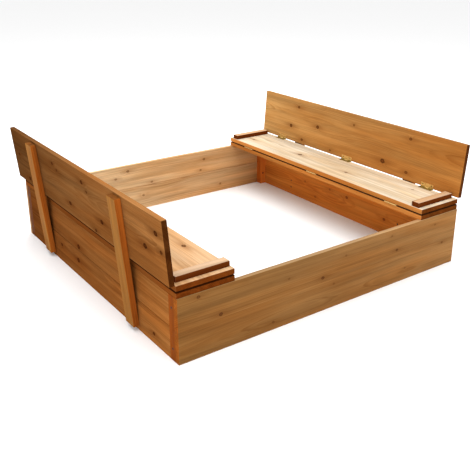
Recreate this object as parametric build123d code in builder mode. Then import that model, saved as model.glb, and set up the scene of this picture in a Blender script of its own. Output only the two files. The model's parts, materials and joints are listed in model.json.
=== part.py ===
from build123d import *

import os
from math import asin, atan2, cos, hypot, sin

# A square wooden sandbox without a floor, and its two-part folding cover. Each half of the
# cover has three boards: one screwed down on the walls, one that folds back over it as a
# bench seat, and one that stands up behind the seat as a backrest, held by two slats.
# Millimetres, +Z up. The origin is on the ground, under the middle of the box.
# +X runs across the two benches, +Y along them. The model is at rest with both benches open.

# ---- the box ----
box_length = 1200.0  # outer size along X
box_depth = 1200.0  # outer size along Y
board_width = 106.0  # height of one wall board, two boards to a wall
wall_thickness = 18.0
tongue_thickness = 6.0  # the tongue between the two boards of a wall
tongue_height = 6.0
vee_depth = 3.0  # the vee groove along that joint
board_edge_radius = 1.5
post_length = 48.0  # along X, its outer face flush with the side wall
post_width = 30.0  # along Y, behind the front or back wall
stub_thickness = 8.0  # the stub on a side board's end, housed in the post
stub_length = 22.0
joinery_play = 0.4  # room round every tongue and stub

# ---- the cover ----
seat_width = 197.0  # the fixed board and the seat board are equally wide
seat_thickness = 18.0
back_thickness = 17.0
panel_end_inset = 3.0  # how far the boards' ends stay inside the box's outer faces
panel_edge_radius = 1.2
fold_gap = 3.5  # between the fixed board and the seat folded back over it
closing_clearance = 0.4  # the closed cover's clearance above the walls
centre_gap = 3.0  # between the two closed halves
cleat_width = 32.0
cleat_thickness = 18.0
cleat_wall_clearance = 5.0  # between a cleat and the wall when the cover is closed
cleat_inner_inset = 4.0  # from the seat board's fold edge
cleat_outer_inset = 11.0  # from the seat board's backrest edge

# ---- the slats that the backrests lean on ----
slat_width = 53.0
slat_thickness = 20.0
front_slat_distance = 266.0  # from the box's outer face to the slat's middle
back_slat_distance = 254.0
slat_foot_height = 17.0  # where the slat's inner edge meets the wall
slat_top_drop = 6.0  # the slat ends this far below the backrest's top
slat_clearance = 0.4  # between slat and backrest

# ---- the hinges ----
hinge_length = 60.0
hinge_edge_gap = 2.0  # between the two boards that a hinge joins, laid flat
hinge_end_distance = 152.0  # from the box's outer face to the outer hinges' middle
leaf_width = 17.0  # from the pin's axis
leaf_thickness = 1.2
leaf_corner_radius = 1.5
leaf_screw_distance = 10.5  # from the pin's axis
leaf_screw_spacing = 42.0
pin_offset = 1.4  # the pin's axis above the boards' faces
barrel_radius = 1.9
barrel_length = 20.0  # the middle knuckle
barrel_end_play = 0.15
barrel_plate_gap = 0.5  # between the barrel and the other leaf's plate
pin_radius = 1.0
pin_running_clearance = 0.05
pin_press = 0.01
pin_edge_break = 0.3

# ---- the screws: head radius, shank radius, length ----
frame_screw = (4.0, 2.0, 40.0)
hinge_screw = (2.4, 1.3, 14.0)
cleat_screw = (3.5, 1.75, 30.0)
slat_screw = (4.0, 2.0, 35.0)
shank_play = 0.1
screw_tip = 2.0  # the point's length, against the shank's radius
recess_span = 1.1  # the cross recess, against the head's radius
recess_slot = 0.25
recess_depth = 0.35
countersink_angle = 90.0
corner_screw_inset = 39.0  # of the side screws, from the wall's top and bottom
slat_screw_rises = (18.0, 50.0)  # above the slat's foot
cleat_screw_inset = 30.0  # from the cleat's ends
panel_screw_spacing = 300.0

# ---- worked out from the sizes above ----
half_length = box_length / 2
half_depth = box_depth / 2
wall_height = 2 * board_width
inner_depth = half_depth - wall_thickness  # the front and back walls' inner faces
post_face = inner_depth - post_width  # the posts' faces towards the side boards
post_middle_x = half_length - post_length / 2
post_middle_y = inner_depth - post_width / 2
wall_middle_x = half_length - wall_thickness / 2
panel_length = box_depth - 2 * panel_end_inset
half_gap = hinge_edge_gap / 2
seat_middle_x = half_length - seat_width / 2
fixed_top = wall_height + seat_thickness
seat_bottom = fixed_top + fold_gap
seat_top = seat_bottom + seat_thickness
back_width = half_length - 2 * seat_width - 2 * hinge_edge_gap - centre_gap / 2

fold_pin_x = half_length - seat_width - half_gap
fold_pin_z = fixed_top + fold_gap / 2 + closing_clearance / 2
fixed_leaf_offset = fold_pin_z - fixed_top
folded_leaf_offset = seat_bottom - fold_pin_z
back_pin_x = half_length + half_gap
back_pin_z = seat_top + pin_offset

# The slat touches the wall at its foot and the backrest along its face, which sets the lean.
slat_reach = pin_offset + back_thickness + slat_clearance
slat_rise = back_pin_z - slat_foot_height
lean = atan2(half_gap, slat_rise) + asin(slat_reach / hypot(slat_rise, half_gap))
slat_foot = -(slat_rise * cos(lean) + half_gap * sin(lean))
slat_top = half_gap + back_width - slat_top_drop
slat_places = {"front": front_slat_distance - half_depth, "back": half_depth - back_slat_distance}

cleat_middle_y = inner_depth - cleat_wall_clearance - cleat_width / 2
cleat_inner_x = half_length - seat_width + cleat_inner_inset
cleat_outer_x = half_length - cleat_outer_inset
cleat_length = cleat_outer_x - cleat_inner_x
cleat_middle_x = (cleat_outer_x + cleat_inner_x) / 2
hinge_rows = (hinge_end_distance - half_depth, 0.0, half_depth - hinge_end_distance)
sides = {"left": -1, "right": 1}
ends = {"front": -1, "back": 1}

os.makedirs("parts", exist_ok=True)


def keep(builder, name):
    """Label a finished piece and write it."""
    builder.part.label = name
    export_step(builder.part, f"parts/{name}.step")


def board_profile(is_upper):
    """Section of a wall board: x through its thickness from the vee face, y upwards."""
    low = (wall_thickness - tongue_thickness) / 2
    high = (wall_thickness + tongue_thickness) / 2
    joint = board_width
    if is_upper:
        play = joinery_play / 2
        groove_top = joint + tongue_height + play
        return [
            (0, joint + vee_depth),
            (vee_depth, joint),
            (low - play, joint),
            (low - play, groove_top),
            (high + play, groove_top),
            (high + play, joint),
            (wall_thickness, joint),
            (wall_thickness, wall_height),
            (0, wall_height),
        ]
    return [
        (0, 0),
        (wall_thickness, 0),
        (wall_thickness, joint),
        (high, joint),
        (high, joint + tongue_height),
        (low, joint + tongue_height),
        (low, joint),
        (vee_depth, joint),
        (0, joint - vee_depth),
    ]


def wood_screw(size):
    """A countersunk screw with a cross recess, its head's face at the origin, pointing down."""
    head_radius, shank_radius, length = size
    neck = head_radius - shank_radius
    with BuildPart() as screw:
        with BuildSketch(Plane.XZ):
            with BuildLine():
                Polyline(
                    (0, 0),
                    (head_radius, 0),
                    (shank_radius, -neck),
                    (shank_radius, -(length - screw_tip * shank_radius)),
                    (0, -length),
                    close=True,
                )
            make_face()
        revolve(axis=Axis.Z)
        with BuildSketch():
            Rectangle(recess_span * head_radius, recess_slot * head_radius)
            Rectangle(recess_slot * head_radius, recess_span * head_radius)
        extrude(amount=-recess_depth * head_radius, mode=Mode.SUBTRACT)
    return screw.part


def screw_hole(size, countersunk=True):
    """Cut the hole that a screw of this size needs, at each of the current locations."""
    head_radius, shank_radius, length = size
    bore = shank_radius + shank_play
    if countersunk:
        CounterSinkHole(bore, head_radius, length + shank_play, countersink_angle)
    else:
        Hole(bore, length + shank_play)


def hinge_leaf(offset, is_outer, bore_radius):
    """One leaf, its pin along local Y at the origin, its plate along +X, lying on z = -offset."""
    plate_start = barrel_radius + barrel_plate_gap
    plate_length = leaf_width - plate_start
    middle = barrel_length / 2
    spans = [(-middle + barrel_end_play, middle - barrel_end_play)]
    if is_outer:
        spans = [(-hinge_length / 2, -middle), (middle, hinge_length / 2)]
    with BuildPart() as leaf:
        with BuildSketch(Plane.XY.offset(-offset)):
            with Locations((plate_start + plate_length / 2, 0)):
                Rectangle(plate_length, hinge_length)
        extrude(amount=leaf_thickness)
        corners = leaf.edges().filter_by(Axis.Z).group_by(Axis.X)[-1]
        fillet(corners, leaf_corner_radius)
        for start, end in spans:
            with BuildSketch(Plane.XZ.offset(-end)):
                Circle(barrel_radius)
                with Locations((plate_start / 2, leaf_thickness / 2 - offset)):
                    Rectangle(plate_start, leaf_thickness)
                Circle(bore_radius, mode=Mode.SUBTRACT)
            extrude(amount=end - start)
        with Locations((leaf_screw_distance, 0, leaf_thickness - offset)):
            with GridLocations(0, leaf_screw_spacing, 1, 2):
                screw_hole(hinge_screw)
    return leaf.part


def hinge_pin():
    """A hinge pin along local Y."""
    with BuildPart() as pin:
        Cylinder(pin_radius, hinge_length, rotation=(90, 0, 0))
        chamfer(pin.edges().filter_by(GeomType.CIRCLE), pin_edge_break)
    return pin.part


def leaf_screw_planes(hinge_planes, depth):
    """The planes of the leaf screws of a row of hinges, this far below the pins' axes."""
    half_spacing = leaf_screw_spacing / 2
    return [
        Plane(
            origin=plane.origin
            + plane.x_dir * leaf_screw_distance
            + plane.y_dir * step
            - plane.z_dir * depth,
            x_dir=plane.x_dir,
            z_dir=plane.z_dir,
        )
        for plane in hinge_planes
        for step in (-half_spacing, half_spacing)
    ]


def hinge_row(x, z, along, up):
    """One plane per hinge: its origin on the pin's axis, x along the plate, z off the board."""
    return [Plane(origin=(x, y, z), x_dir=along, z_dir=up) for y in hinge_rows]


def copies(shape, planes, name):
    """Write one node that holds a copy of a shape at each plane."""
    with BuildPart() as group:
        with Locations(*planes):
            add(shape)
    keep(group, name)


def backrest_plane(side):
    """The leaning plane through a backrest's pins: x up the backrest, z towards the sitter."""
    return Plane(
        origin=(side * back_pin_x, 0, back_pin_z),
        x_dir=(side * sin(lean), 0, cos(lean)),
        z_dir=(-side * cos(lean), 0, sin(lean)),
    )


# ---- walls: front and back run the full length, the sides stand between the posts ----
side_board_length = 2 * (post_face + stub_length)
stub_cheek = (wall_thickness - stub_thickness) / 2
corner_screw_heights = (corner_screw_inset, wall_height - corner_screw_inset)
corner_screw_planes = [
    Plane(origin=(side * half_length, end * post_middle_y, z), x_dir=(0, 1, 0), z_dir=(side, 0, 0))
    for side in sides.values()
    for end in ends.values()
    for z in corner_screw_heights
]
wall_screw_x = half_length - wall_thickness - (post_length - wall_thickness) / 2
wall_screw_planes = [
    Plane(origin=(side * wall_screw_x, end * post_face, z), x_dir=(1, 0, 0), z_dir=(0, -end, 0))
    for side in sides.values()
    for end in ends.values()
    for z in (board_width / 2, wall_height - board_width / 2)
]
panel_screw_places = [(wall_middle_x, step * panel_screw_spacing) for step in (-1, 0, 1)]
panel_screw_places += [(post_middle_x, end * post_middle_y) for end in ends.values()]
panel_screw_planes = [
    Plane(origin=(side * x, y, fixed_top)) for side in sides.values() for x, y in panel_screw_places
]

slat_screw_planes = [
    Plane(origin=(side * (half_length - wall_thickness), y, slat_foot_height + rise), z_dir=(-side, 0, 0))
    for side in sides.values()
    for y in slat_places.values()
    for rise in slat_screw_rises
]

for level, is_upper in (("lower", False), ("upper", True)):
    for side_name, side in sides.items():
        with BuildPart() as side_board:
            with BuildSketch(Plane.XZ):
                with BuildLine():
                    Polyline(
                        *[(side * (half_length - x), z) for x, z in board_profile(is_upper)],
                        close=True,
                    )
                make_face()
            extrude(amount=side_board_length / 2, both=True)
            with Locations(
                (side * half_length, post_face + stub_length / 2, board_width),
                (side * half_length, -post_face - stub_length / 2, board_width),
                (side * (half_length - wall_thickness), post_face + stub_length / 2, board_width),
                (side * (half_length - wall_thickness), -post_face - stub_length / 2, board_width),
            ):
                Box(2 * stub_cheek, stub_length, 2 * wall_height, mode=Mode.SUBTRACT)
            with Locations(*corner_screw_planes, *panel_screw_planes):
                screw_hole(frame_screw, countersunk=False)
            with Locations(*slat_screw_planes):
                screw_hole(slat_screw)
        keep(side_board, f"{side_name}_wall_{level}_board")
    for end_name, end in ends.items():
        with BuildPart() as end_board:
            with BuildSketch(Plane.YZ):
                with BuildLine():
                    Polyline(
                        *[(end * (inner_depth + y), z) for y, z in board_profile(is_upper)],
                        close=True,
                    )
                make_face()
            extrude(amount=half_length, both=True)
            outer_face = end_board.faces().filter_by(Axis.Y).sort_by(Axis.Y)[0 if end < 0 else -1]
            eased_edges = outer_face.edges().filter_by(Axis.Z)
            if is_upper:
                eased_edges += end_board.faces().sort_by(Axis.Z)[-1].edges().filter_by(Axis.X)
            fillet(eased_edges, board_edge_radius)
            with Locations(*wall_screw_planes):
                screw_hole(frame_screw, countersunk=False)
        keep(end_board, f"{end_name}_wall_{level}_board")

for side_name, side in sides.items():
    for end_name, end in ends.items():
        with BuildPart() as post:
            with BuildSketch():
                with Locations((side * post_middle_x, end * post_middle_y)):
                    Rectangle(post_length, post_width)
                with Locations((side * wall_middle_x, end * post_face)):
                    Rectangle(
                        stub_thickness + joinery_play,
                        2 * stub_length + joinery_play,
                        mode=Mode.SUBTRACT,
                    )
            extrude(amount=wall_height)
            inner_edges = post.edges().filter_by(Axis.Z).group_by(Axis.Y)[0 if end > 0 else -1]
            outermost = inner_edges.sort_by(Axis.X)
            fillet([outermost[0], outermost[-1]], board_edge_radius)
            with Locations(*corner_screw_planes, *wall_screw_planes):
                screw_hole(frame_screw)
            with Locations(*panel_screw_planes):
                screw_hole(frame_screw, countersunk=False)
        keep(post, f"{end_name}_{side_name}_post")

long_screw = wood_screw(frame_screw)
copies(long_screw, corner_screw_planes, "corner_screws")
copies(long_screw, wall_screw_planes, "wall_screws")
copies(long_screw, panel_screw_planes, "fixed_panel_screws")
copies(wood_screw(slat_screw), slat_screw_planes, "slat_screws")

# ---- the cover, its hinges and its slats, one half at a time ----
fixed_leaf = hinge_leaf(fixed_leaf_offset, True, pin_radius - pin_press)
folded_leaf = hinge_leaf(folded_leaf_offset, False, pin_radius + pin_running_clearance)
seat_leaf = hinge_leaf(pin_offset, True, pin_radius - pin_press)
back_leaf = hinge_leaf(pin_offset, False, pin_radius + pin_running_clearance)
pin_shape = hinge_pin()
small_screw = wood_screw(hinge_screw)
cleat_screw_shape = wood_screw(cleat_screw)

for side_name, side in sides.items():
    back_plane = backrest_plane(side)
    fixed_hinges = hinge_row(side * fold_pin_x, fold_pin_z, (side, 0, 0), (0, 0, 1))
    folded_hinges = hinge_row(side * fold_pin_x, fold_pin_z, (side, 0, 0), (0, 0, -1))
    seat_hinges = hinge_row(side * back_pin_x, back_pin_z, (-side, 0, 0), (0, 0, 1))
    back_hinges = hinge_row(side * back_pin_x, back_pin_z, back_plane.x_dir, back_plane.z_dir)
    leaf_rows = {
        "fold_fixed": (fixed_hinges, fixed_leaf, fixed_leaf_offset),
        "fold_seat": (folded_hinges, folded_leaf, folded_leaf_offset),
        "recline_seat": (seat_hinges, seat_leaf, pin_offset),
        "recline_back": (back_hinges, back_leaf, pin_offset),
    }
    head_planes = {
        row: leaf_screw_planes(planes, offset - leaf_thickness)
        for row, (planes, shape, offset) in leaf_rows.items()
    }

    with BuildPart() as fixed_panel:
        with BuildSketch(Plane.XY.offset(wall_height)):
            with Locations((side * seat_middle_x, 0)):
                Rectangle(seat_width, panel_length)
        extrude(amount=seat_thickness)
        fillet(fixed_panel.edges(), panel_edge_radius)
        with Locations(*panel_screw_planes):
            screw_hole(frame_screw)
        with Locations(*head_planes["fold_fixed"]):
            screw_hole(hinge_screw, countersunk=False)
    keep(fixed_panel, f"{side_name}_fixed_panel")

    cleat_screw_planes = [
        Plane(origin=(side * x, end * cleat_middle_y, seat_bottom), z_dir=(0, 0, -1))
        for end in ends.values()
        for x in (cleat_inner_x + cleat_screw_inset, cleat_outer_x - cleat_screw_inset)
    ]
    with BuildPart() as seat_panel:
        with BuildSketch(Plane.XY.offset(seat_bottom)):
            with Locations((side * seat_middle_x, 0)):
                Rectangle(seat_width, panel_length)
        extrude(amount=seat_thickness)
        fillet(seat_panel.edges(), panel_edge_radius)
        with Locations(*cleat_screw_planes):
            screw_hole(cleat_screw)
        with Locations(*head_planes["fold_seat"], *head_planes["recline_seat"]):
            screw_hole(hinge_screw, countersunk=False)
    keep(seat_panel, f"{side_name}_seat_panel")

    for end_name, end in ends.items():
        with BuildPart() as cleat:
            with BuildSketch(Plane.XY.offset(seat_top)):
                with Locations((side * cleat_middle_x, end * cleat_middle_y)):
                    Rectangle(cleat_length, cleat_width)
            extrude(amount=cleat_thickness)
            fillet(cleat.faces().sort_by(Axis.Z)[-1].edges(), panel_edge_radius)
            with Locations(*cleat_screw_planes):
                screw_hole(cleat_screw, countersunk=False)
        keep(cleat, f"{side_name}_{end_name}_cleat")
    copies(cleat_screw_shape, cleat_screw_planes, f"{side_name}_cleat_screws")

    with BuildPart() as backrest:
        with BuildSketch(back_plane.offset(-pin_offset)):
            with Locations((half_gap + back_width / 2, 0)):
                Rectangle(back_width, panel_length)
        extrude(amount=-back_thickness)
        fillet(backrest.edges(), panel_edge_radius)
        with Locations(*head_planes["recline_back"]):
            screw_hole(hinge_screw, countersunk=False)
    keep(backrest, f"{side_name}_backrest")

    slat_outer_face = back_plane.offset(-slat_reach - slat_thickness)
    for end_name, slat_place in slat_places.items():
        with BuildPart() as slat:
            with BuildSketch(slat_outer_face):
                with Locations(((slat_foot + slat_top) / 2, side * slat_place)):
                    Rectangle(slat_top - slat_foot, slat_width)
            extrude(amount=slat_thickness)
            fillet(slat.edges(), board_edge_radius)
            with Locations(*slat_screw_planes):
                screw_hole(slat_screw, countersunk=False)
        keep(slat, f"{side_name}_{end_name}_slat")

    for row, (planes, shape, offset) in leaf_rows.items():
        copies(shape, planes, f"{side_name}_{row}_leaves")
        copies(small_screw, head_planes[row], f"{side_name}_{row}_screws")
    copies(pin_shape, fixed_hinges, f"{side_name}_fold_pins")
    copies(pin_shape, seat_hinges, f"{side_name}_recline_pins")
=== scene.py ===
"""The looks of a square wooden sandbox with a folding cover.

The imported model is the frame. Each of its boards is dressed as a piece sawn from its own fir log,
its hinges as brass and its screws as bronzed steel, and a plain studio is set up around it.
"""

import json
import logging
import math
from dataclasses import dataclass, field
from enum import Enum
from typing import Any, Sequence

import bpy
from mathutils import Matrix, Vector

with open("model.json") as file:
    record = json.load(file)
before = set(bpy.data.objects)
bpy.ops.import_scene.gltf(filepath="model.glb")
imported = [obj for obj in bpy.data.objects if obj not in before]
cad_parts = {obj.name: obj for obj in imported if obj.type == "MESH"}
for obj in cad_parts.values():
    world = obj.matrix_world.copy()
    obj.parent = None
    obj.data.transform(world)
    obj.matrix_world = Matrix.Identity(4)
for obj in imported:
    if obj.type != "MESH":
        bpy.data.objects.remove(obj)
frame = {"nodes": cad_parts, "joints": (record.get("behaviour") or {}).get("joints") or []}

log = logging.getLogger("sandbox")

Colour = tuple[float, float, float]
Point = tuple[float, float, float]
Wire = bpy.types.NodeSocket | float | int | Sequence[float]

MM = 0.001
SIDES = {"left": -1, "right": 1}
ENDS = ("front", "back")


def linear(red: int, green: int, blue: int) -> Colour:
    """Turn a screen colour into the linear one that the shaders take.

    Args:
        red: From 0 to 255.
        green: From 0 to 255.
        blue: From 0 to 255.

    Returns:
        The same colour in linear light, each part from 0 to 1.
    """
    def part(value: int) -> float:
        """Undo the screen's gamma for one part of the colour."""
        share = value / 255
        return share / 12.92 if share <= 0.04045 else ((share + 0.055) / 1.055) ** 2.4

    return part(red), part(green), part(blue)


class Web:
    """Adds nodes to one node tree and wires them up."""

    def __init__(self, tree: bpy.types.NodeTree) -> None:
        """Keep the tree that the nodes go into."""
        self.tree = tree

    def node(self, kind: str, wires: dict[str | int, Wire] | None = None,
             **settings: Any) -> bpy.types.Node:
        """Add a node.

        Args:
            kind: The node's type, without its ShaderNode in front.
            wires: What each input gets, by its name or number: a socket or a plain value.
            settings: The node's own properties.

        Returns:
            The new node.
        """
        made = self.tree.nodes.new(f"ShaderNode{kind}")
        for name, value in settings.items():
            setattr(made, name, value)
        for socket, value in (wires or {}).items():
            self.join(value, made.inputs[socket])
        return made

    def join(self, value: Wire, socket: bpy.types.NodeSocket) -> None:
        """Link a socket to an input, or set the input to a plain value.

        Args:
            value: The socket or the plain value.
            socket: The input.
        """
        if isinstance(value, bpy.types.NodeSocket):
            self.tree.links.new(value, socket)
        elif socket.type == "RGBA" and len(value) == 3:
            socket.default_value = (*value, 1.0)
        else:
            socket.default_value = value

    def math(self, operation: str, *values: Wire, clamp: bool = False) -> bpy.types.NodeSocket:
        """Do sums on numbers.

        Args:
            operation: The Math node's operation.
            values: Its inputs, in their order.
            clamp: Whether the result is kept between 0 and 1.

        Returns:
            The result's socket.
        """
        return self.node("Math", dict(enumerate(values)), operation=operation, use_clamp=clamp).outputs[0]

    def vector(self, operation: str, *values: Wire, out: str = "Vector") -> bpy.types.NodeSocket:
        """Do sums on vectors.

        Args:
            operation: The Vector Math node's operation.
            values: Its inputs, in their order.
            out: Which output to return, Vector or Value.

        Returns:
            The result's socket.
        """
        return self.node("VectorMath", dict(enumerate(values)), operation=operation).outputs[out]

    def noise(self, place: Wire, pace: Point, detail: float = 2.0, rough: float = 0.5,
              out: str = "Fac") -> bpy.types.NodeSocket:
        """Read a noise, stretched or squeezed along each axis.

        Args:
            place: Where the noise is read, in metres.
            pace: How many of its waves there are to a metre, along each axis.
            detail: How many finer layers it has.
            rough: How strong those layers are.
            out: Which output to return, Fac or Color.

        Returns:
            The noise's socket.
        """
        scaled = self.vector("MULTIPLY", place, pace)
        wires = {"Vector": scaled, "Scale": 1.0, "Detail": detail, "Roughness": rough}
        return self.node("TexNoise", wires).outputs[out]

    def rise(self, value: Wire, start: float, end: float) -> bpy.types.NodeSocket:
        """Go smoothly from 0 at start to 1 at end."""
        wires = {"Value": value, "From Min": start, "From Max": end}
        return self.node("MapRange", wires, interpolation_type="SMOOTHSTEP").outputs[0]

    def fall(self, value: Wire, start: float, end: float) -> bpy.types.NodeSocket:
        """Go smoothly from 1 at start to 0 at end."""
        return self.math("SUBTRACT", 1.0, self.rise(value, start, end))

    def scale(self, value: Wire, low: Wire, high: Wire) -> bpy.types.NodeSocket:
        """Stretch a number from between 0 and 1 to between low and high."""
        return self.node("MapRange", {"Value": value, "To Min": low, "To Max": high}).outputs[0]

    def blend(self, share: Wire, first: Wire, second: Wire, mode: str = "MIX") -> bpy.types.NodeSocket:
        """Mix two colours.

        Args:
            share: How much of the second colour there is.
            first: The colour below.
            second: The colour on top.
            mode: The blend mode.

        Returns:
            The mixed colour's socket.
        """
        wires = {0: share, 6: first, 7: second}
        return self.node("Mix", wires, data_type="RGBA", blend_type=mode).outputs[2]

    def parts(self, vector: Wire) -> tuple[bpy.types.NodeSocket, ...]:
        """Split a vector into its three numbers."""
        return tuple(self.node("SeparateXYZ", {0: vector}).outputs)

    def whole(self, *numbers: Wire) -> bpy.types.NodeSocket:
        """Put three numbers together as a vector."""
        return self.node("CombineXYZ", dict(enumerate(numbers))).outputs[0]


class Group:
    """A node group: its sockets, and the nodes that its own kind wires up inside."""

    NAME = ""
    INPUTS: tuple[tuple[str, str], ...] = ()
    OUTPUTS: tuple[tuple[str, str], ...] = ()

    def __init__(self) -> None:
        """Build the group."""
        self.tree = bpy.data.node_groups.new(self.NAME, "ShaderNodeTree")
        for sockets, side in ((self.INPUTS, "INPUT"), (self.OUTPUTS, "OUTPUT")):
            for name, kind in sockets:
                self.tree.interface.new_socket(name, in_out=side, socket_type=f"NodeSocket{kind}")
        self.web = Web(self.tree)
        self.given = self.tree.nodes.new("NodeGroupInput").outputs
        out = self.tree.nodes.new("NodeGroupOutput")
        for name, value in self.wire().items():
            self.tree.links.new(value, out.inputs[name])

    def wire(self) -> dict[str, Wire]:
        """Wire the group's nodes up.

        Returns:
            What each output gives.
        """
        raise NotImplementedError


class KnotGroup(Group):
    """One knot, from how far a point is from its heart."""

    NAME = "knot"
    INPUTS = (("Away", "Vector"), ("Place", "Vector"), ("Radius", "Float"))
    OUTPUTS = (("Core", "Float"), ("Rim", "Float"), ("Halo", "Float"), ("Swell", "Float"))
    OUTLINE_PACE = (130.0, 130.0, 40.0)  # the unevenness of the outline, in waves to a metre
    OUTLINE_PLAY = 0.8  # how much of the radius that unevenness takes
    ROUNDNESS = 0.8  # a knot is a little longer along the grain than across it
    HALO_ROUNDNESS = 0.28  # and its stain is much longer
    RING_PACE = 15.0  # the knot's own rings, in radians to a radius
    RING_DEPTH = 0.18
    HALO_FADE = -0.22
    SWELL_FADE = -0.16

    def wire(self) -> dict[str, Wire]:
        """Wire the knot up.

        Returns:
            Its core, which fades in rings, the dark bark round it, the stained grain beyond,
            and how far it pushes the growth rings aside, in metres.
        """
        web = self.web
        along, across, _ = web.parts(self.given["Away"])
        radius = self.given["Radius"]

        def oval(roundness: float) -> Wire:
            """Measure how far the point is from the heart, in radii of an oval."""
            flat = web.whole(web.math("MULTIPLY", along, roundness), across, 0.0)
            return web.math("DIVIDE", web.vector("LENGTH", flat, out="Value"), radius)

        def bell(far: Wire, fade: float) -> Wire:
            """Fade from 1 at the heart to 0 far from it."""
            return web.math("EXPONENT", web.math("MULTIPLY", web.math("MULTIPLY", far, far), fade))

        wander = web.noise(self.given["Place"], self.OUTLINE_PACE)
        uneven = web.math("MULTIPLY_ADD", wander, self.OUTLINE_PLAY, -self.OUTLINE_PLAY / 2)
        reach = web.math("ADD", oval(self.ROUNDNESS), uneven)
        wave = web.math("SINE", web.math("MULTIPLY", reach, self.RING_PACE))
        year = web.math("MULTIPLY_ADD", wave, self.RING_DEPTH, 1.0 - self.RING_DEPTH)
        core = web.math("MULTIPLY", web.fall(reach, 0.7, 1.2), year)
        rim = web.math("MULTIPLY", web.rise(reach, 0.4, 0.9), web.fall(reach, 1.0, 1.45))
        halo = bell(oval(self.HALO_ROUNDNESS), self.HALO_FADE)
        swell = bell(reach, self.SWELL_FADE)
        strength = web.rise(radius, 0.5 * MM, 6.5 * MM)
        swell = web.math("MULTIPLY", swell, radius)
        return {name: web.math("MULTIPLY", share, strength)
                for name, share in (("Core", core), ("Rim", rim), ("Halo", halo), ("Swell", swell))}


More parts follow.
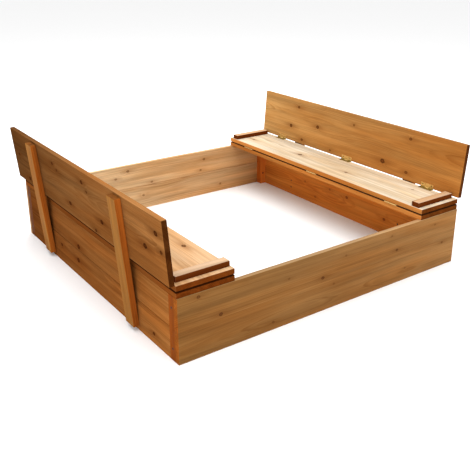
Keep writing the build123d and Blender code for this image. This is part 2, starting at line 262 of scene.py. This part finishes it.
class FirGroup(Group):
    """The node group that every board shares: wood as it grows, in the log's own coordinates.

    X runs along the board, Y across its width and Z through its thickness, in metres from the
    board's middle. Growth rings are cylinders round the pith, so the faces show grain lines and
    the ends show arcs. Branches cross the thickness as knots, and the rings flow round them.
    It also paints light falloff along the board and shade in the gaps between boards.
    """

    NAME = "fir"
    INPUTS = (
        ("Point", "Vector"), ("Log Place", "Vector"), ("Half Size", "Vector"), ("Pith", "Vector"),
        ("Body", "Color"), ("Edge", "Color"), ("Foot", "Color"), ("End", "Color"),
        ("Ring Width", "Float"), ("Figure", "Float"), ("Painted Falloff", "Vector"), ("Pin Share", "Float"),
        ("Seam", "Float"),
        ("Core", "Float"), ("Rim", "Float"), ("Halo", "Float"), ("Swell", "Float"),
    )
    OUTPUTS = (("Color", "Color"), ("Roughness", "Float"), ("Height", "Float"))
    PINS = (9.0, 19.0, 1.0)  # pin knots to a metre, along and across a board
    PIN_RADII = (0.8 * MM, 2.4 * MM)
    BEND_PACE = (1.0, 2.5, 2.5)  # every pace is in waves to a metre, along, across and through
    BEND_REACH = (0.0, 0.05, 0.07)  # how far the log bends, in metres
    FINE_PACE = (4.0, 70.0, 70.0)
    FINE_REACH = 3.0 * MM
    KNOT_PUSH = 1.7  # how far the rings go round a knot, against its swell
    WIDE_PACE = (1.9, 10.0, 10.0)
    STREAK_PACE = (1.3, 26.0, 26.0)
    THREAD_PACE = (2.2, 150.0, 150.0)
    FIBRE_PACE = (14.0, 700.0, 700.0)
    FLECK_PACE = (16.0, 330.0, 330.0)
    EARLY_TINT = (1.14, 1.17, 1.24)  # each tint or patch multiplies another colour
    LATE_TINT = (0.62, 0.48, 0.34)
    DARK_PATCH = (0.96, 0.87, 0.76)
    LIGHT_PATCH = (1.05, 1.10, 1.18)
    HALO_TINT = (0.58, 0.42, 0.30)
    CORE_TINT = (0.34, 0.20, 0.14)
    RIM_TINT = (0.10, 0.07, 0.06)
    # painted shade in the gap between stacked boards
    PAINTED_GAP_SHADE = (0.14, 0.07, 0.04)
    KNOT_STAIN = 0.68  # how strong the stain round a knot is at most
    PIN_STAIN = 0.45

    def __init__(self, knot: KnotGroup) -> None:
        """Build the group round the knot's own."""
        self.knot = knot
        super().__init__()

    def pin_knots(self, place: Wire) -> dict[str, Wire]:
        """Scatter pin knots over the board.

        Args:
            place: Where the point is in the log.

        Returns:
            Their core, rim, halo and swell.
        """
        web = self.web
        grid = web.vector("MULTIPLY", place, self.PINS)
        wires = {"Vector": grid, "Scale": 1.0, "Randomness": 0.85}
        found = web.node("TexVoronoi", wires, voronoi_dimensions="2D")
        chance, size, _ = web.parts(found.outputs["Color"])
        away = web.vector("DIVIDE", web.vector("SUBTRACT", found.outputs["Position"], grid), self.PINS)
        grown = web.math("LESS_THAN", chance, self.given["Pin Share"])
        radius = web.scale(web.math("POWER", size, 2.0), *self.PIN_RADII)
        made = knot_node(web, self.knot, away, place, radius)
        return {name: web.math("MULTIPLY", socket, grown) for name, socket in made.items()}

    def late_wood(self, place: Wire, swell: Wire) -> Wire:
        """Lay the growth rings round the pith.

        Args:
            place: Where the point is in the log.
            swell: How far a knot pushes the rings outwards.

        Returns:
            How much late wood there is, from 0 to 1.
        """
        web = self.web
        bend = web.noise(place, self.BEND_PACE, out="Color")
        bend = web.vector("MULTIPLY", web.vector("SUBTRACT", bend, (0.5, 0.5, 0.5)), self.BEND_REACH)
        fine = web.noise(place, self.FINE_PACE, 3.0, 0.6)
        radial = web.vector("ADD", web.vector("SUBTRACT", self.given["Point"], self.given["Pith"]), bend)
        reach = web.vector("LENGTH", web.vector("MULTIPLY", radial, (0.0, 1.0, 1.0)), out="Value")
        fine = web.math("MULTIPLY", fine, self.FINE_REACH)
        reach = web.math("ADD", reach, web.math("MULTIPLY_ADD", swell, self.KNOT_PUSH, fine))
        count = web.math("DIVIDE", reach, self.given["Ring Width"])
        wires = {"W": count, "Scale": 0.31, "Detail": 2.0}
        loose = web.node("TexNoise", wires, noise_dimensions="1D").outputs[0]
        count = web.math("MULTIPLY_ADD", loose, 3.0, count)
        share = web.math("FRACT", count)
        whole = {"W": web.math("FLOOR", count)}
        year = web.node("TexWhiteNoise", whole, noise_dimensions="1D").outputs["Value"]
        late = web.math("MULTIPLY", web.rise(share, 0.2, 0.9), web.fall(share, 0.92, 1.0))
        return web.math("MULTIPLY", late, web.scale(year, 0.25, 1.0))

    def sides(self) -> dict[str, Wire]:
        """Find the board's ends, long edges and seam from the point's place in the board.

        Returns:
            The share of end, of upper or outer edge, of lower or inner edge (the foot), and of
            the rim of the face that lies against another board, where painted gap shade goes,
            each from 0 to 1.
        """
        web = self.web
        from_middle = web.vector("ABSOLUTE", self.given["Point"])
        along, across, _ = web.parts(web.vector("SUBTRACT", self.given["Half Size"], from_middle))
        _, place, height = web.parts(self.given["Point"])
        _, _, thick = web.parts(self.given["Half Size"])
        end = web.fall(along, 0.2 * MM, 1.0 * MM)
        rim = web.fall(across, 0.1 * MM, 0.9 * MM)
        rim = web.math("MULTIPLY", rim, web.math("SUBTRACT", 1.0, end))
        upper = web.math("GREATER_THAN", place, 0.0)
        under = web.math("SUBTRACT", thick, web.math("MULTIPLY", height, self.given["Seam"]))
        # Painted shade: a band 6 to 9 mm wide round the face that lies against another board.
        painted_shade_band = web.fall(web.math("MINIMUM", along, across), 6.0 * MM, 9.0 * MM)
        return {
            "end": end,
            "edge": web.math("MULTIPLY", rim, upper),
            "foot": web.math("MULTIPLY", rim, web.math("SUBTRACT", 1.0, upper)),
            "seam": web.math("MULTIPLY", painted_shade_band, web.fall(under, 0.6 * MM, 2.4 * MM)),
        }

    def tint(self, colour: Wire, amounts: Wire) -> Wire:
        """Multiply a colour by another."""
        return self.web.blend(1.0, colour, amounts, "MULTIPLY")

    def shade(self, colour: Wire, amount: Wire) -> Wire:
        """Multiply a colour by a number."""
        return self.tint(colour, self.web.whole(amount, amount, amount))

    def wire(self) -> dict[str, Wire]:
        """Wire the wood up.

        Returns:
            Its colour, its roughness and its relief, from 0 to 1.
        """
        web = self.web
        given = self.given
        place = web.vector("ADD", given["Point"], given["Log Place"])
        pin = self.pin_knots(place)
        late = self.late_wood(place, web.math("ADD", given["Swell"], pin["Swell"]))
        side = self.sides()
        body = given["Body"]

        wide = web.noise(place, self.WIDE_PACE, 3.0, 0.6)
        streak = web.noise(place, self.STREAK_PACE, 4.0, 0.65)
        thread = web.noise(place, self.THREAD_PACE, 2.0, 0.6)
        fibre = web.noise(place, self.FIBRE_PACE, 2.0, 0.6)
        fleck = web.rise(web.noise(place, self.FLECK_PACE, 1.0), 0.63, 0.76)

        colour = web.blend(web.math("MULTIPLY", late, given["Figure"]), self.tint(body, self.EARLY_TINT),
                           self.tint(body, self.LATE_TINT))
        patch = web.blend(web.rise(wide, 0.36, 0.64), self.DARK_PATCH, self.LIGHT_PATCH)
        colour = self.tint(colour, patch)
        light = web.math("ADD", web.scale(web.rise(streak, 0.30, 0.70), 0.78, 1.15),
                         web.math("ADD", web.scale(web.rise(thread, 0.3, 0.7), -0.07, 0.07),
                                  web.scale(fibre, -0.10, 0.10)))
        light = web.math("MULTIPLY_ADD", fleck, -0.14, light)
        # Painted light falloff: the colour grows lighter or darker from one end of the board to the other.
        share, _, _ = web.parts(web.vector("DIVIDE", given["Point"], given["Half Size"]))
        drift = web.vector("MULTIPLY_ADD", web.whole(share, share, share), given["Painted Falloff"], (1.0, 1.0, 1.0))
        colour = self.tint(self.shade(colour, light), drift)
        for knot, stain in ((given, self.KNOT_STAIN), (pin, self.PIN_STAIN)):
            for share, tint in ((web.math("MULTIPLY", knot["Halo"], stain), self.HALO_TINT),
                                (knot["Core"], self.CORE_TINT),
                                (web.math("MULTIPLY", knot["Rim"], 0.75), self.RIM_TINT)):
                colour = web.blend(share, colour, self.tint(body, tint))
        # On the front wall, the left backrest, the seats and the cleats, the edge and foot tints paint
        # light and shade: pale lit tops, darker sides.
        colour = web.blend(side["edge"], colour, self.tint(colour, given["Edge"]))
        colour = web.blend(side["foot"], colour, self.tint(colour, given["Foot"]))
        colour = web.blend(side["end"], colour,
                           self.tint(self.shade(colour, web.scale(late, 1.1, 0.7)), given["End"]))
        # Painted shade from the gap between stacked boards, darkening the rim of the face that lies against
        # another.
        colour = web.blend(side["seam"], colour, self.tint(colour, self.PAINTED_GAP_SHADE))

        rough = web.math("MULTIPLY_ADD", late, -0.08, web.scale(streak, 0.52, 0.68))
        rough = web.math("MULTIPLY_ADD", side["end"], 0.2, rough, clamp=True)
        height = web.math("MULTIPLY_ADD", late, 0.35, web.math("MULTIPLY", fibre, 0.5))
        height = web.math("MULTIPLY_ADD", thread, 0.25, height)
        height = web.math("MULTIPLY_ADD", given["Rim"], -1.0, web.math("MULTIPLY_ADD", fleck, -0.5, height))
        return {"Color": colour, "Roughness": rough, "Height": height}


def knot_node(web: Web, knot: KnotGroup, away: Wire, place: Wire, radius: Wire) -> dict[str, Wire]:
    """Add one knot to a node tree.

    Args:
        web: The tree.
        knot: The knot's node group.
        away: From the point to the knot's heart, along and across the board, in metres.
        place: Where the point is, for the unevenness of the knot's outline.
        radius: The knot's radius in metres.

    Returns:
        The knot's core, rim, halo and swell.
    """
    made = web.tree.nodes.new("ShaderNodeGroup")
    made.node_tree = knot.tree
    for name, value in (("Away", away), ("Place", place), ("Radius", radius)):
        web.join(value, made.inputs[name])
    return {name: made.outputs[name] for name, _ in KnotGroup.OUTPUTS}


class Sawn(Enum):
    """How a board was sawn from its log, as the place of the pith across and through the board."""

    FLAT = (0.006, -0.075)
    RIFT = (0.085, -0.080)
    QUARTER = (0.150, -0.012)


class Way(Enum):
    """A direction of the box."""

    ACROSS = Vector((1.0, 0.0, 0.0))
    DEEP = Vector((0.0, 1.0, 0.0))
    UP = Vector((0.0, 0.0, 1.0))


Knots = Sequence[tuple[float, float, float]]  # along and across from a board's middle, radius, in mm


@dataclass(frozen=True)
class Timber:
    """How a kind of fir board looks under its clear stain, with painted light and shade in some of its
    colours and its drift.
    """

    body: Colour
    edge: Colour = (0.9, 0.85, 0.8)  # the upper or outer long edge, against the body
    foot: Colour = (0.75, 0.62, 0.5)
    end: Colour = (0.5, 0.4, 0.34)
    pin_share: float = 0.12
    ring_width: float = 3.4 * MM
    figure: float = 0.62
    grain_depth: float = 0.22 * MM
    gloss: float = 0.02
    drift: Colour = (0.0, 0.0, 0.0)  # painted light falloff: how much lighter the far end is painted than the middle


@dataclass
class Board:
    """One board's place and directions, and the log that it was sawn from."""

    middle: Vector
    axes: tuple[Vector, Vector, Vector]
    half: tuple[float, float, float]
    log_number: int
    sawn: Sawn
    knots: Knots
    seam: float
    LOG_STEP = (3.7, 1.3, 0.9)  # from one board's wood to the next one's, in metres
    PITH_DRIFT = (0.03, 0.25)  # how far the pith strays: across in metres, and through as a share
    DRIFT_PACE = 2.4
    FAR_OFF = 1000.0  # in a knot's radii

    def nearest_knot(self, web: Web, knot: KnotGroup, inside: Wire) -> dict[str, Wire]:
        """Find the board's own knot that reaches the point most, and grow it.

        Args:
            web: The material's node tree.
            knot: The knot's node group.
            inside: The point, from the board's middle.

        Returns:
            The core, rim, halo and swell of that knot.
        """
        if not self.knots:
            return {name: 0.0 for name, _ in KnotGroup.OUTPUTS}
        along, across, _ = web.parts(inside)
        flat = web.whole(along, across, 0.0)
        nearest: Wire = (1.0, 1.0, MM)  # to start with, a small knot too far off to show
        best: Wire = self.FAR_OFF
        for place in self.knots:
            found = web.vector("SUBTRACT", tuple(value * MM for value in place), flat)
            way = web.vector("MULTIPLY", found, (1.0, 1.0, 0.0))
            far = web.math("DIVIDE", web.vector("LENGTH", way, out="Value"), place[2] * MM)
            nearest = web.blend(web.math("LESS_THAN", far, best), nearest, found)
            best = web.math("MINIMUM", best, far)
        _, _, radius = web.parts(nearest)
        return knot_node(web, knot, nearest, web.vector("ADD", inside, (self.log_number, 0.0, 0.0)), radius)

    def material(self, name: str, timber: Timber, fir: FirGroup) -> bpy.types.Material:
        """Build the board's material.

        Args:
            name: The material's name.
            timber: The board's kind of wood.
            fir: The wood's node group.

        Returns:
            The material.
        """
        made = bpy.data.materials.new(name)
        made.use_nodes = True
        web = Web(made.node_tree)
        inside = web.node("Mapping", {
            "Vector": web.node("TexCoord").outputs["Object"], "Location": self.middle,
            "Rotation": Matrix(self.axes).transposed().to_euler(),
        }, vector_type="TEXTURE").outputs[0]
        beside, below = self.sawn.value
        drift = math.sin(self.DRIFT_PACE * self.log_number)
        stray_across, stray_through = self.PITH_DRIFT
        grain = made.node_tree.nodes.new("ShaderNodeGroup")
        grain.node_tree = fir.tree
        wires = {
            "Point": inside, "Half Size": self.half,
            "Log Place": tuple(step * self.log_number for step in self.LOG_STEP),
            "Pith": (0.0, beside + stray_across * drift, below * (1.0 + stray_through * drift)),
            "Body": timber.body, "Edge": timber.edge, "Foot": timber.foot, "End": timber.end,
            "Ring Width": timber.ring_width, "Figure": timber.figure, "Painted Falloff": timber.drift,
            "Pin Share": timber.pin_share, "Seam": self.seam, **self.nearest_knot(web, fir.knot, inside),
        }
        for socket, value in wires.items():
            web.join(value, grain.inputs[socket])
        shader = made.node_tree.nodes["Principled BSDF"]
        web.join(grain.outputs["Color"], shader.inputs["Base Color"])
        web.join(grain.outputs["Roughness"], shader.inputs["Roughness"])
        relief = {"Height": grain.outputs["Height"], "Strength": 0.6, "Distance": timber.grain_depth}
        bump = web.node("Bump", relief)
        web.join(bump.outputs[0], shader.inputs["Normal"])
        shader.inputs["Specular IOR Level"].default_value = timber.gloss
        return made


@dataclass(frozen=True)
class Metal:
    """A metal finish with fine scratches and a little tarnish."""

    name: str
    colour: Colour
    tarnish: Colour
    roughness: tuple[float, float]
    CLOUD_PACE = (160.0, 160.0, 160.0)
    SCRATCH_PACE = (2500.0, 240.0, 2500.0)
    SCRATCH_DEPTH = 0.05 * MM

    def make(self) -> bpy.types.Material:
        """Build the material.

        Returns:
            The material, its pattern on the pieces' own coordinates.
        """
        made = bpy.data.materials.new(self.name)
        made.use_nodes = True
        web = Web(made.node_tree)
        shader = made.node_tree.nodes["Principled BSDF"]
        place = web.node("TexCoord").outputs["Object"]
        cloud = web.noise(place, self.CLOUD_PACE, 3.0, 0.6)
        scratch = web.noise(place, self.SCRATCH_PACE, 2.0, 0.6)
        colour = web.blend(web.rise(cloud, 0.45, 0.75), self.colour, self.tarnish)
        web.join(colour, shader.inputs["Base Color"])
        rough = web.math("MULTIPLY_ADD", scratch, 0.5, web.math("MULTIPLY", cloud, 0.5))
        web.join(web.scale(rough, *self.roughness), shader.inputs["Roughness"])
        bump = web.node("Bump", {"Height": scratch, "Strength": 0.3, "Distance": self.SCRATCH_DEPTH})
        web.join(bump.outputs[0], shader.inputs["Normal"])
        shader.inputs["Metallic"].default_value = 1.0
        return made


def put_on(node: str, finish: bpy.types.Material) -> None:
    """Give a frame node a finish.

    Args:
        node: The node's name.
        finish: Its only material from now on.
    """
    piece = frame["nodes"][node]
    piece.data.materials.clear()
    piece.data.materials.append(finish)
    log.info("%s dressed in %s", node, finish.name)


@dataclass
class Joiner:
    """Cuts a board's finish to the board that it goes on, each from the next piece of wood."""

    fir: FirGroup = field(default_factory=lambda: FirGroup(KnotGroup()))
    boards: int = 0

    def board(self, node: str, along: Vector, across: Vector, timber: Timber, sawn: Sawn,
              knots: Knots = (), seam: float = 0.0) -> None:
        """Dress one board.

        Args:
            node: The board's name.
            along: The direction of its grain.
            across: The direction of its width.
            timber: Its kind of wood.
            sawn: How it was sawn.
            knots: Its knots, each with its place from the board's middle and its radius.
            seam: Which face lies against another board, whose rim gets painted gap shade: 1 or -1 along the
                thickness, 0 for none.
        """
        self.boards += 1
        corners = [corner.co for corner in frame["nodes"][node].data.vertices]
        axes = (along, across, along.cross(across))
        spans = [[corner.dot(axis) for corner in corners] for axis in axes]
        middle = sum((axis * (max(span) + min(span)) / 2 for axis, span in zip(axes, spans)),
                     Vector())
        half = tuple((max(span) - min(span)) / 2 for span in spans)
        cut = Board(middle, axes, half, self.boards, sawn, knots, seam)
        put_on(node, cut.material(f"{node}_fir", timber, self.fir))


@dataclass
class Walls:
    """The four walls, two boards high, and the posts in their corners."""

    joiner: Joiner
    # The four wall bodies are partly the boards' own tone and partly painted light and shade: the outer
    # left and front faces are painted darker, the inner back and right faces lighter. Their drifts paint
    # light falloff along each wall, and the front wall's edge tint paints its top faces pale, a painted
    # highlight.
    front: Timber = Timber(linear(128, 88, 46), edge=(1.35, 1.7, 2.5), end=(1.3, 0.82, 0.38), figure=0.5,
                           drift=(0.22, 0.26, 0.36))
    back: Timber = Timber(linear(193, 153, 106), edge=(1.0, 1.05, 1.1), figure=0.6,
                          drift=(-0.20, -0.32, -0.45))
    left: Timber = Timber(linear(122, 74, 33), gloss=0.0, drift=(-0.36, -0.42, -0.44))
    right: Timber = Timber(linear(183, 106, 40))
    # The posts are one timber in three bodies: the far post's darker body is painted shade, and the lighter
    # body of the two right posts, which stand in shade, is painted light.
    post: Timber = Timber(linear(144, 81, 20), ring_width=2.6 * MM)
    painted_shade_post: Timber = Timber(linear(104, 60, 26), ring_width=2.6 * MM)
    painted_light_post: Timber = Timber(linear(207, 118, 47), ring_width=2.6 * MM)
    knots: dict[str, Knots] = field(default_factory=lambda: {
        "front_lower": [(530, 40, 3.5), (-10, 30, 3), (335, -10, 3), (-260, -30, 3.5)],
        "front_upper": [(-455, -40, 4.5), (-60, -38, 4.5), (285, -30, 4), (-530, 40, 4), (40, 15, 3),
                        (-200, 0, 3), (255, 30, 3), (480, 20, 3)],
        "back_lower": [(-85, 5, 4), (330, -20, 4), (-420, 20, 5)],
        "back_upper": [(-155, 28, 4.5), (-215, 2, 4), (240, 15, 4.5), (220, -35, 4), (-40, -42, 4)],
        "left_lower": [(100, 8, 7), (250, 15, 5), (-455, -22, 5)],
        "left_upper": [(87, -38, 7), (400, 20, 6)],
        "right_lower": [(245, 34, 4), (170, -20, 4), (-35, 37, 5), (-260, 8, 5), (75, 42, 4)],
        "right_upper": [(-310, 10, 6), (60, -25, 7), (420, 30, 5)],
    })

    def build(self) -> None:
        """Dress the walls' boards and the posts."""
        x, y, z = (way.value for way in Way)
        for level, sawn in (("lower", Sawn.FLAT), ("upper", Sawn.RIFT)):
            for name, along, timber in (("left", y, self.left), ("front", x, self.front),
                                        ("right", y, self.right), ("back", x, self.back)):
                knots = self.knots[f"{name}_{level}"]
                self.joiner.board(f"{name}_wall_{level}_board", along, z, timber, sawn, knots)
        for place, timber in (("front_left", self.post), ("back_left", self.painted_shade_post),
                              ("front_right", self.painted_light_post), ("back_right", self.painted_light_post)):
            self.joiner.board(f"{place}_post", z, x, timber, Sawn.RIFT)


@dataclass
class Bench:
    """One half of the cover folded open: the fixed board, the seat board and its two cleats."""

    joiner: Joiner
    side: str
    seat_knots: Knots
    seat: Timber
    # The cleat's pale body is painted sheen on its top, and its edge, foot and end tints paint its sides
    # and ends far darker, as shade.
    cleat: Timber = Timber(linear(175, 144, 112), edge=(0.24, 0.08, 0.02), foot=(0.24, 0.08, 0.02),
                           end=(0.24, 0.08, 0.02), figure=0.45, gloss=0.0)
    fixed_knots: Knots = ((-420, 30, 7), (-90, -45, 6), (260, 50, 8), (500, -20, 6))

    def build(self) -> None:
        """Dress the bench's boards."""
        along = Way.DEEP.value
        facing = SIDES[self.side]
        outward = Way.ACROSS.value * facing
        for name, sawn, knots, seam in (("fixed", Sawn.RIFT, self.fixed_knots, -facing),
                                        ("seat", Sawn.FLAT, self.seat_knots, facing)):
            self.joiner.board(f"{self.side}_{name}_panel", along, outward, self.seat, sawn, knots, seam)
        for end in ENDS:
            self.joiner.board(f"{self.side}_{end}_cleat", outward, along, self.cleat, Sawn.QUARTER)


@dataclass
class Backrest:
    """A backrest board and the two slats that it leans on."""

    joiner: Joiner
    side: str
    panel: Timber
    panel_knots: Knots
    slat: Timber = Timber(linear(137, 88, 33), edge=(1.05, 0.69, 0.52), foot=(1.05, 0.69, 0.52),
                          ring_width=2.8 * MM)

    def build(self) -> None:
        """Dress the backrest and its slats."""
        lean = math.pi / 2 - reach(f"{self.side}_back_fold")
        up = Vector((SIDES[self.side] * math.sin(lean), 0.0, math.cos(lean)))
        along = Way.DEEP.value
        self.joiner.board(f"{self.side}_backrest", along, up, self.panel, Sawn.FLAT, self.panel_knots)
        for end in ENDS:
            self.joiner.board(f"{self.side}_{end}_slat", up, along, self.slat, Sawn.RIFT)


@dataclass
class Fastenings:
    """The hinges' leaves and pins, and every screw."""

    brass: Metal = Metal("brass", linear(236, 200, 128), linear(186, 140, 74), (0.24, 0.45))
    # A darker copy of the brass for the recline seat's leaves and the pins: painted shade.
    painted_shade_brass: Metal = Metal("painted_shade_brass", linear(150, 128, 66), linear(104, 84, 40), (0.3, 0.5))
    bronze: Metal = Metal("bronzed_steel", linear(66, 48, 34), linear(38, 27, 20), (0.45, 0.6))

    def build(self) -> None:
        """Dress the hinges and the screws."""
        finishes = {
            # the recline seat's leaves and the pins get the brass with painted shade
            "_recline_seat_leaves": self.painted_shade_brass.make(), "_leaves": self.brass.make(),
            "_pins": self.painted_shade_brass.make(), "_screws": self.bronze.make(),
        }
        for node in sorted(frame["nodes"]):
            found = [finish for ending, finish in finishes.items() if node.endswith(ending)]
            if found:
                put_on(node, found[0])


def reach(joint: str) -> float:
    """Give how far a joint turns, in radians."""
    (found,) = [one for one in frame["joints"] if one["name"] == joint]
    return math.radians(found["range_deg"][1])


@dataclass(frozen=True)
class Lamp:
    """A soft rectangular light that the camera doesn't see."""

    name: str
    place: Point
    target: Point
    size: tuple[float, float]  # wide and tall
    power: float  # in watts

    def hang(self) -> None:
        """Put the light in the scene."""
        data = bpy.data.lights.new(self.name, "AREA")
        data.shape = "RECTANGLE"
        data.size, data.size_y = self.size
        data.energy = self.power
        lamp = bpy.data.objects.new(self.name, data)
        lamp.location = self.place
        way = Vector(self.target) - Vector(self.place)
        lamp.rotation_euler = way.to_track_quat("-Z", "Y").to_euler()
        lamp.visible_camera = False
        bpy.context.scene.collection.objects.link(lamp)


@dataclass
class Studio:
    """A plain pale floor, soft light and the camera."""

    eye: Point = (-1.4369, -2.0868, 1.1319)
    azimuth: float = math.radians(36.66)
    dip: float = math.radians(20.93)
    roll: float = math.radians(0.46)
    lens: float = 53.23
    shift: tuple[float, float] = (-0.0451, -0.0577)
    floor_side: float = 60.0
    floor_grey: float = 0.92
    sky_strength: float = 1.0
    lamps: tuple[Lamp, ...] = (
        Lamp("overhead", (-0.4, -0.3, 4.0), (0.0, 0.0, 0.2), (4.0, 4.0), 165.0),
        Lamp("behind", (2.1, 2.8, 2.0), (0.0, 0.0, 0.3), (3.6, 2.2), 80.0),
        Lamp("fill", (-1.5, -1.7, 0.7), (-0.6, -0.6, 0.2), (0.6, 0.6), 8.0),
    )

    def camera(self) -> None:
        """Set the camera up."""
        data = bpy.data.cameras.new("camera")
        data.lens = self.lens
        data.shift_x, data.shift_y = self.shift
        camera = bpy.data.objects.new("camera", data)
        camera.location = self.eye
        turn = Matrix.Rotation(-self.azimuth, 4, "Z") @ Matrix.Rotation(math.pi / 2 - self.dip, 4, "X")
        camera.rotation_euler = (turn @ Matrix.Rotation(self.roll, 4, "Z")).to_euler()
        bpy.context.scene.collection.objects.link(camera)
        bpy.context.scene.camera = camera

    def floor(self) -> None:
        """Lay the floor."""
        bpy.ops.mesh.primitive_plane_add(size=self.floor_side)
        floor = bpy.context.object
        floor.name = "floor"
        made = bpy.data.materials.new("floor")
        made.use_nodes = True
        shader = made.node_tree.nodes["Principled BSDF"]
        shader.inputs["Base Color"].default_value = (*[self.floor_grey] * 3, 1.0)
        shader.inputs["Roughness"].default_value = 0.9
        shader.inputs["Specular IOR Level"].default_value = 0.1
        floor.data.materials.append(made)

    def sky(self) -> None:
        """Light the scene evenly from all round."""
        world = bpy.data.worlds.new("studio")
        world.use_nodes = True
        glow = world.node_tree.nodes["Background"].inputs
        glow["Color"].default_value = (1.0, 1.0, 1.0, 1.0)
        glow["Strength"].default_value = self.sky_strength
        bpy.context.scene.world = world

    def build(self) -> None:
        """Set the whole studio up."""
        self.camera()
        self.floor()
        for lamp in self.lamps:
            lamp.hang()
        self.sky()
        bpy.context.scene.view_settings.view_transform = "Standard"


DARK_END = (0.22, 0.16, 0.12)

# The seat bodies are paler than the wood, with the gloss off: partly paler boards, partly painted sheen on
# the tops. The edge, foot and end tints darken the narrow faces against that pale body.
SEATS = {
    "left": Timber(linear(174, 139, 101), edge=(0.39, 0.19, 0.07), foot=(0.66, 0.28, 0.08),
                   end=(0.25, 0.095, 0.024), figure=0.45, gloss=0.0),
    "right": Timber(linear(188, 170, 142), edge=(0.36, 0.16, 0.05), foot=(0.88, 0.40, 0.12),
                    end=(0.21, 0.065, 0.014), figure=0.45, gloss=0.0),
}
SEAT_KNOTS = {
    "left": [(-375, -60, 6), (120, 20, 6), (430, -30, 5)],
    "right": [(180, -10, 7), (-125, -20, 5), (500, -30, 5), (-430, 40, 4)],
}
# The left backrest's dark body is painted shade, and both drifts paint light falloff along the boards; the
# left one's edge tint paints its top face pale, a painted highlight.
BACKRESTS = {
    "left": Timber(linear(110, 70, 34), edge=(1.3, 1.4, 1.6), end=DARK_END, gloss=0.0,
                   drift=(-0.45, -0.44, -0.40)),
    "right": Timber(linear(165, 114, 58), edge=(0.75, 0.82, 0.85), end=DARK_END, figure=0.5,
                    drift=(0.13, 0.26, 0.42)),
}
BACKREST_KNOTS = {
    "left": [(-555, 50, 6.5), (-480, -15, 7), (-190, -40, 6.5), (-130, -90, 5), (65, -55, 6), (180, 60, 5),
             (145, 43, 4), (-70, 60, 5.5), (-100, 34, 4), (465, -75, 5.5), (540, 5, 5), (-575, 0, 5)],
    "right": [(-205, -55, 8), (-335, -70, 5), (-335, 65, 5), (390, -30, 6), (305, -80, 5), (345, 65, 5),
              (205, 0, 6), (110, -85, 4), (-20, 55, 4)],
}


def main() -> None:
    """Build and dress everything, in order."""
    logging.basicConfig(level=logging.INFO, format="%(name)s: %(message)s")
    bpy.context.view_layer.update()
    joiner = Joiner()
    Walls(joiner).build()
    for side in SIDES:
        Bench(joiner, side, SEAT_KNOTS[side], SEATS[side]).build()
        Backrest(joiner, side, BACKRESTS[side], BACKREST_KNOTS[side]).build()
    Fastenings().build()
    Studio().build()


if __name__ == "__main__":
    main()
